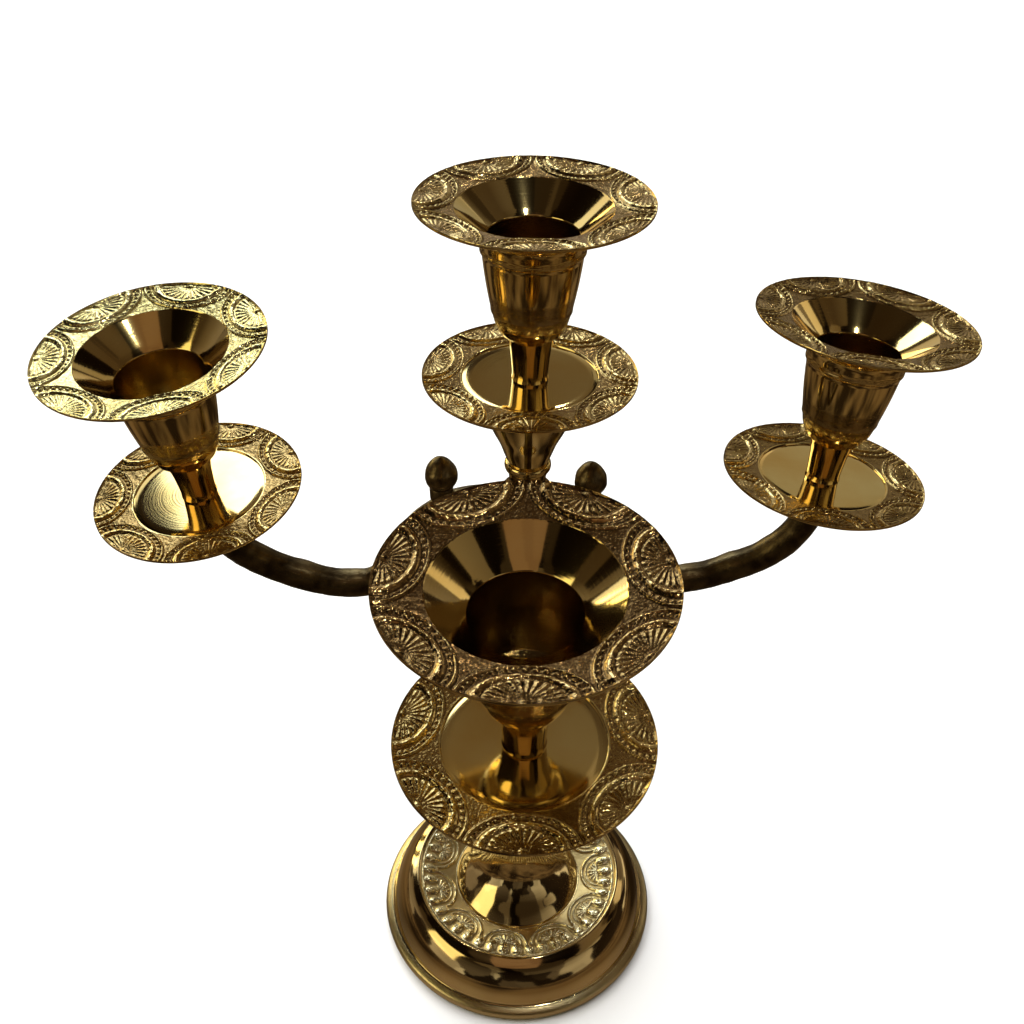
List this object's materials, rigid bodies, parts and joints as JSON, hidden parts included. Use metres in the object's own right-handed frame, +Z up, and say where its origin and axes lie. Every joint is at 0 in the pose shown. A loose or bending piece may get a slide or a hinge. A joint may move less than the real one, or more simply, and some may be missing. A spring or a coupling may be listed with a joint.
{
  "type": "tabletop candelabra",
  "caption": "Brass candelabra: a centre candle cup on a turned column and swivelling S-curved side arms, each with a drip pan and a wide embossed candle cup.",
  "frame": {"origin": "centre of the felt face that the base stands on", "axes": "+Z up the column; the front arm reaches towards -Y, the other two roughly along +X and -X"},
  "size_m": [0.2351, 0.1737, 0.2779],
  "materials": {
    "polished_brass": "polished, lacquered",
    "antique_brass": "dark patina, sand cast",
    "steel": "plain zinc plate",
    "felt": "felt"
  },
  "bodies": {
    "stand": {"base_shell": "polished_brass", "base_felt": "felt", "base_washer": "steel", "base_nut": "steel", "tie_rod": "steel", "column_foot": "polished_brass", "column_baluster": "polished_brass", "column_knop": "polished_brass", "column_neck": "polished_brass", "upper_stem": "polished_brass", "drip_pan_centre": "polished_brass"},
    "arm_front": {"arm_front": "antique_brass", "bud_finial_front": "antique_brass", "cup_stud_front": "steel", "drip_pan_front": "polished_brass"},
    "cup_front": {"candle_cup_front": "polished_brass"},
    "arm_left": {"arm_left": "antique_brass", "bud_finial_left": "antique_brass", "cup_stud_left": "steel", "drip_pan_left": "polished_brass"},
    "cup_left": {"candle_cup_left": "polished_brass"},
    "arm_right": {"arm_right": "antique_brass", "bud_finial_right": "antique_brass", "cup_stud_right": "steel", "drip_pan_right": "polished_brass"},
    "cup_right": {"candle_cup_right": "polished_brass"},
    "cup_centre": {"candle_cup_centre": "polished_brass"}
  },
  "joints": [
    {"name": "arm_front_swivel", "type": "hinge", "parent": "stand", "child": "arm_front", "pos_m": [0, 0, 0.1916], "axis": [0, 0, 1], "range_deg": [-15, 15]},
    {"name": "arm_left_swivel", "type": "hinge", "parent": "stand", "child": "arm_left", "pos_m": [0, 0, 0.1916], "axis": [0, 0, 1], "range_deg": [-60, 15]},
    {"name": "arm_right_swivel", "type": "hinge", "parent": "stand", "child": "arm_right", "pos_m": [0, 0, 0.1916], "axis": [0, 0, 1], "range_deg": [-15, 60]},
    {"name": "cup_centre_screw", "type": "hinge", "parent": "stand", "child": "cup_centre", "pos_m": [0, 0, 0.2319], "axis": [0, 0, 1], "continuous": true},
    {"name": "cup_front_screw", "type": "hinge", "parent": "arm_front", "child": "cup_front", "pos_m": [-0.00081, -0.0925, 0.1984], "axis": [-0.0126, -0.0689, 0.9975], "continuous": true},
    {"name": "cup_left_screw", "type": "hinge", "parent": "arm_left", "child": "cup_left", "pos_m": [-0.08866, -0.00776, 0.1991], "axis": [-0.0754, -0.102, 0.9919], "continuous": true},
    {"name": "cup_right_screw", "type": "hinge", "parent": "arm_right", "child": "cup_right", "pos_m": [0.08262, 0.00549, 0.198], "axis": [0.0778, 0.0663, 0.9948], "continuous": true}
  ]
}
